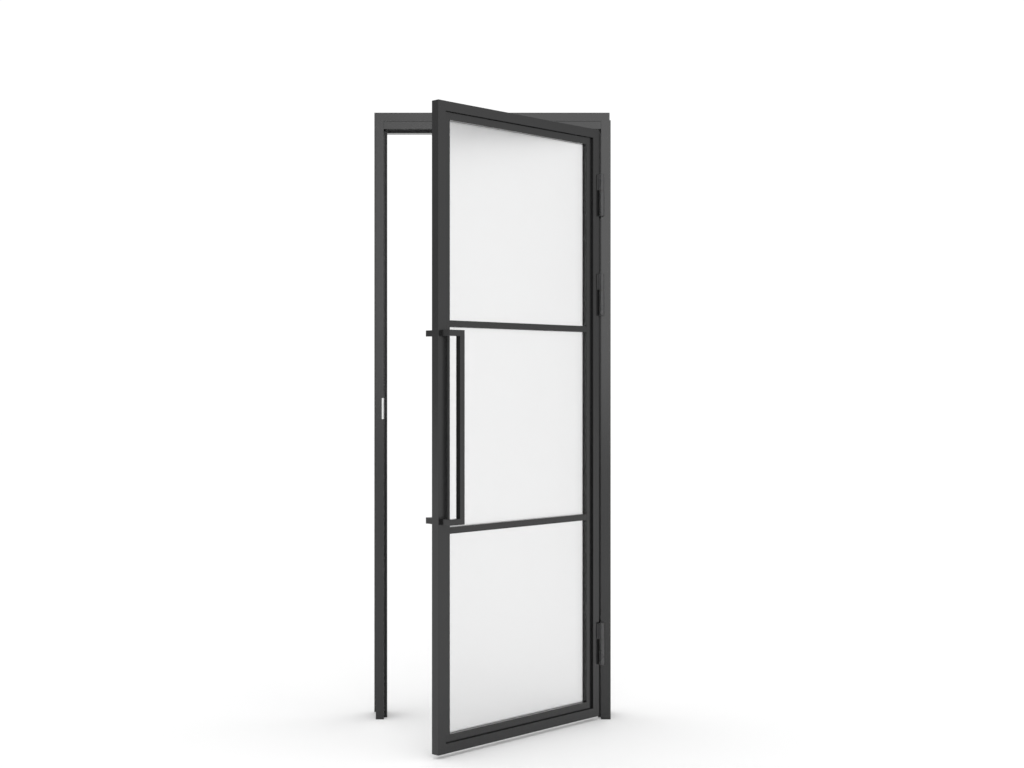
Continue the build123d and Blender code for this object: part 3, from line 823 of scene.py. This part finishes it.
@dataclass
class HingeWelds:
    """The weld seams that hold the hinge halves' lugs to the jamb and to the leaf.

    Sizes are in millimetres.
    """

    radius: float = 1.5
    sides: int = 12
    pitch: float = 2.2
    swell: float = 1.28
    lean: float = 0.44
    merge_gap: float = 0.05
    smooth_angle: float = 60.0
    centres: tuple[float, float, float] = (275.0, 1534.0, 1893.0)
    frame_span: tuple[float, float] = (-73.5, 12.4)
    leaf_span: tuple[float, float] = (17.6, 73.5)
    frame_corners: tuple[tuple[float, float], ...] = ((400.2, -0.2), (391.8, -0.2))
    leaf_corner: tuple[float, float] = (-13.2, 8.3)

    def model(self, name: str, span: tuple[float, float]) -> Workpiece:
        """Shape one seam with its ripples, standing from the foot to the top of its span.

        Args:
            name: the seam's name.
            span: the levels of its two ends, from the hinge's centre.

        Returns:
            The seam.
        """
        count = round((span[1] - span[0]) / self.pitch)
        half = self.pitch / 2
        seam = Workpiece(name).start_round(self.radius, 0.0, self.pitch, self.sides)
        seam.select_edges(lambda first, second: abs(first.z - second.z) > half)
        bpy.ops.mesh.subdivide(number_cuts=1)
        seam.leave_edit()
        seam.select_edges(lambda first, second: at_level(first, second, half))
        bpy.ops.transform.resize(
            value=(self.swell, self.swell, 1.0), center_override=mm(0.0, 0.0, half)
        )
        bpy.ops.transform.translate(value=mm(0.0, 0.0, self.lean))
        seam.leave_edit()
        seam.select_faces(lambda face: abs(face.normal.z) > FACING)
        bpy.ops.mesh.delete(type="ONLY_FACE")
        seam.leave_edit()
        seam.apply(
            "ARRAY",
            count=count,
            use_relative_offset=False,
            use_constant_offset=True,
            constant_offset_displace=mm(0.0, 0.0, self.pitch),
            use_merge_vertices=True,
            merge_threshold=self.merge_gap / METRE,
        )
        for level in (0.0, self.pitch * count):
            seam.select_edges(lambda first, second: at_level(first, second, level))
            bpy.ops.mesh.edge_face_add()
            seam.leave_edit()
        bpy.ops.object.shade_smooth_by_angle(angle=radians(self.smooth_angle))
        return seam

    def build(self) -> None:
        """Run the seams along each hinge's lugs."""
        frame_foot, leaf_foot = self.frame_span[0], self.leaf_span[0]
        self.model("frame_hinge_weld", self.frame_span).settle_copies(
            [
                standing(x, y, centre + frame_foot)
                for centre in self.centres
                for x, y in self.frame_corners
            ],
            HINGE_COAT_WITH_PAINTED_SHEEN,
            "hinge_paint",
            Body.FRAME,
        )
        self.model("leaf_hinge_weld", self.leaf_span).settle_copies(
            [
                LEAF_PLACE @ standing(*self.leaf_corner, centre + leaf_foot)
                for centre in self.centres
            ],
            HINGE_COAT_WITH_PAINTED_SHEEN,
            "hinge_paint",
            Body.LEAF,
        )


@dataclass
class StileCaps:
    """The four plastic caps that close the stiles' open ends.

    Sizes are in millimetres, on the leaf's own axes.
    """

    width: float = 27.6
    thickness: float = 9.0
    corner: float = 0.5
    corner_steps: int = 3
    border: float = 2.2
    dish: float = 0.7
    hollow: float = 7.0
    set_back: float = 0.4
    middle_depth: float = 24.5
    middles: tuple[float, float] = (-769.0, -21.0)
    bottom: float = 14.0
    top: float = 2129.0

    def model(self) -> Workpiece:
        """Shape one cap: a plug with a dished face, a hollow underside and eased edges.

        Returns:
            The cap.
        """
        half = self.width / 2
        cap = Workpiece("stile_cap").start_block(
            Vector((-half, -half, -self.thickness)), Vector((half, half, 0.0))
        )
        for side, depth in ((1.0, self.dish), (-1.0, self.hollow)):
            cap.select_faces(lambda face: face.normal.z * side > FACING)
            bpy.ops.mesh.inset(thickness=self.border / METRE)
            cap.draw_out(-side * depth)
            cap.leave_edit()
        return cap.round_edges(self.corner, self.corner_steps)

    def build(self) -> None:
        """Put a cap in each end of the two stiles."""
        over = Matrix.Rotation(pi, 4, "X")
        places = []
        for middle in self.middles:
            above = standing(middle, self.middle_depth, self.top - self.set_back)
            below = standing(middle, self.middle_depth, self.bottom + self.set_back)
            places += [LEAF_PLACE @ above, LEAF_PLACE @ below @ over]
        self.model().settle_copies(places, MOULDED_PLASTIC, "black_plastic", Body.LEAF)


@dataclass
class HeadShadowStrip:
    """A thin dark strip round the head's front face, where it meets the jambs: a painted shadow line,
    shaped as a bead of sealant, where there is only the shade at the head's edge.

    Sizes are in millimetres.
    """

    inner: tuple[float, float] = (-395.5, 389.5)
    underside: float = 2133.4
    level: float = 2160.4
    width: float = 1.6
    fine_width: float = 0.6
    proud: float = 0.25
    sunk: float = 0.6
    shoulder: float = 0.12
    crown: float = 0.08
    corner: float = 0.05

    def strip(self, name: str, low: tuple[float, float], high: tuple[float, float]) -> Workpiece:
        """Shape one strip of the painted shadow line, shaped as sealant, with a rounded front.

        Args:
            name: the strip's name.
            low: its lowest X and Z.
            high: its highest X and Z.

        Returns:
            The strip.
        """
        made = Workpiece(name).start_block(
            Vector((low[0], -self.proud, low[1])), Vector((high[0], self.sunk, high[1]))
        )
        made.select_faces(lambda face: face.normal.y < -FACING)
        bpy.ops.mesh.inset(thickness=self.shoulder / METRE)
        bpy.ops.transform.translate(value=mm(0.0, -self.crown, 0.0))
        made.leave_edit()
        return made.round_edges(self.corner)

    def build(self) -> None:
        """Run the painted shadow strip along the head and down its two joints with the jambs."""
        half = self.fine_width / 2
        low, high = self.level - self.width / 2, self.level + self.width / 2
        run = self.strip("head_painted_shadow_strip", (self.inner[0], low), (self.inner[1], high))
        # The strips wear the dark rubber finish to paint the shadow line at the head's edge.
        run.settle(IN_PLACE, SEAL_RUBBER, "black_rubber", Body.FRAME)
        for name, middle in zip(("strike_side_painted_shadow_strip", "hinge_side_painted_shadow_strip"), self.inner):
            upright = self.strip(name, (middle - half, self.underside), (middle + half, low))
            upright.settle(IN_PLACE, SEAL_RUBBER, "black_rubber", Body.FRAME)


@dataclass
class SoftEdges:
    """The pieces whose sharp edges are eased, as a paint film and a file leave them.

    Each width is in millimetres, by the CAD piece that the eased one stands for.
    """

    leaf_widths: dict[str, float] = field(
        default_factory=lambda: {
            "closing_side_bead": 0.5,
            "hinge_side_bead": 0.5,
            "top_bead": 0.5,
            "bottom_bead": 0.5,
            "front_upper_bar": 0.8,
            "front_lower_bar": 0.8,
            "rear_upper_bar": 0.6,
            "rear_lower_bar": 0.6,
            "front_handle": 0.9,
            "rear_handle": 0.9,
        }
    )

    def build(self) -> None:
        """Ease the edges of each piece and let it stand for its CAD piece."""
        for node, width in self.leaf_widths.items():
            eased = Workpiece(f"eased_{node}").start_copy(node).round_edges(width)
            slot = SLOT_OF_NODE[node]
            eased.settle(IN_PLACE, FINISH_OF_SLOT[slot], slot, Body.LEAF)
            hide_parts(node)


@dataclass
class Door:
    """The door's own pieces, each dressed in the finish of its material slot."""

    finishes: dict[str, Finish] = field(default_factory=lambda: dict(FINISH_OF_SLOT))

    def dress(self) -> None:
        """Put each CAD piece's finish on its object."""
        for node, made in frame["nodes"].items():
            finish = FINISH_OF_NODE.get(node, self.finishes[SLOT_OF_NODE[node]])
            made.data.materials.clear()
            made.data.materials.append(finish.material())
            log.info("%s wears %s", node, finish.name)

    def build(self) -> None:
        """Add the pieces that only the eye needs."""
        for part in (
            SoftEdges(),
            StrikePlate(),
            CountersunkScrews(),
            HingeWelds(),
            StileCaps(),
            HeadShadowStrip(),
        ):
            part.build()


@dataclass
class Studio:
    """The plain floor, the soft light and the camera.

    Lengths are in metres. The camera stands level in front of the frame, as the photograph's did.
    The sky's spans are shares of the mirrored ray's direction, to the right and to the back.
    """

    camera_place: tuple[float, float, float] = (0.0679, -5.139, 1.2118)
    lens: float = 50.0
    sensor: float = 36.0
    floor_size: float = 60.0
    floor_tone: Colour = (0.985, 0.985, 0.985)
    floor_roughness: float = 0.9
    floor_specular: float = 0.1
    sky_strength: float = 1.045
    left_span: tuple[float, float] = (-0.9, 0.1)
    left_shade: float = 0.62
    near_span: tuple[float, float] = (-0.04, 0.12)
    rear_shade: float = 0.5
    far_span: tuple[float, float] = (0.3, 0.8)
    rear_lift: float = 1.7
    lamp_place: tuple[float, float, float] = (0.7, -6.6, 2.9)
    lamp_target: tuple[float, float, float] = (0.0, -0.2, 1.3)
    lamp_size: float = 4.0
    lamp_power: float = 74.0

    def build(self) -> None:
        """Make the floor, the light and the camera."""
        self.add_floor()
        self.add_sky()
        self.add_lamp()
        self.add_camera()

    def add_floor(self) -> None:
        """Lay a plain pale floor at Z = 0."""
        bpy.ops.object.select_all(action="DESELECT")
        bpy.ops.mesh.primitive_plane_add(size=self.floor_size)
        floor = bpy.context.active_object
        floor.name = "studio_floor"
        paint = bpy.data.materials.new("pale_floor")
        paint.use_nodes = True
        shader = paint.node_tree.nodes["Principled BSDF"]
        shader.inputs["Base Color"].default_value = (*self.floor_tone, 1.0)
        shader.inputs["Roughness"].default_value = self.floor_roughness
        shader.inputs["Specular IOR Level"].default_value = self.floor_specular
        floor.data.materials.append(paint)
        log.info("studio floor laid")

    def add_sky(self) -> None:
        """Surround the scene with even white light, shaded to the left and behind in the gloss."""
        world = bpy.data.worlds.new("studio_sky")
        world.use_nodes = True
        builder = NodeBuilder(world.node_tree)
        background = world.node_tree.nodes["Background"]
        background.inputs["Strength"].default_value = self.sky_strength
        place = builder.add("ShaderNodeTexCoord")
        axes = builder.add("ShaderNodeSeparateXYZ")
        builder.join(place.outputs["Generated"], axes.inputs["Vector"])
        shade = builder.ramp(axes.outputs["X"], self.left_span, (self.left_shade, 1.0))
        for span, value in ((self.near_span, self.rear_shade), (self.far_span, self.rear_lift)):
            band = builder.ramp(axes.outputs["Y"], span, (1.0, value))
            product = builder.add("ShaderNodeMath", operation="MULTIPLY")
            builder.join(shade, product.inputs[0])
            builder.join(band, product.inputs[1])
            shade = product.outputs["Value"]
        rays = builder.add("ShaderNodeLightPath")
        mirrored = builder.add("ShaderNodeMath", operation="SUBTRACT", use_clamp=True)
        builder.join(rays.outputs["Is Glossy Ray"], mirrored.inputs[0])
        builder.join(rays.outputs["Is Transmission Ray"], mirrored.inputs[1])
        tone = builder.blend(mirrored.outputs["Value"], 1.0, shade)
        builder.join(tone, background.inputs["Color"])
        bpy.context.scene.world = world
        bpy.context.scene.view_settings.view_transform = "Standard"

    def add_lamp(self) -> None:
        """Hang one broad soft lamp behind the camera, above its height."""
        place, target = Vector(self.lamp_place), Vector(self.lamp_target)
        lamp = bpy.data.lights.new("front_lamp", "AREA")
        lamp.shape = "SQUARE"
        lamp.size = self.lamp_size
        lamp.energy = self.lamp_power
        holder = bpy.data.objects.new("front_lamp", lamp)
        holder.location = place
        holder.rotation_euler = (target - place).to_track_quat("-Z", "Y").to_euler()
        bpy.context.scene.collection.objects.link(holder)

    def add_camera(self) -> None:
        """Stand the camera at the photograph's place, level and looking along +Y."""
        camera = bpy.data.cameras.new("camera")
        camera.lens = self.lens
        camera.sensor_width = self.sensor
        holder = bpy.data.objects.new("camera", camera)
        holder.location = self.camera_place
        holder.rotation_euler = (pi / 2, 0.0, 0.0)
        bpy.context.scene.collection.objects.link(holder)
        bpy.context.scene.camera = holder


def main() -> None:
    """Dress the door and set up the studio."""
    logging.basicConfig(level=logging.INFO, format="%(name)s: %(message)s")
    door = Door()
    door.dress()
    door.build()
    Studio().build()


if __name__ == "__main__":
    main()
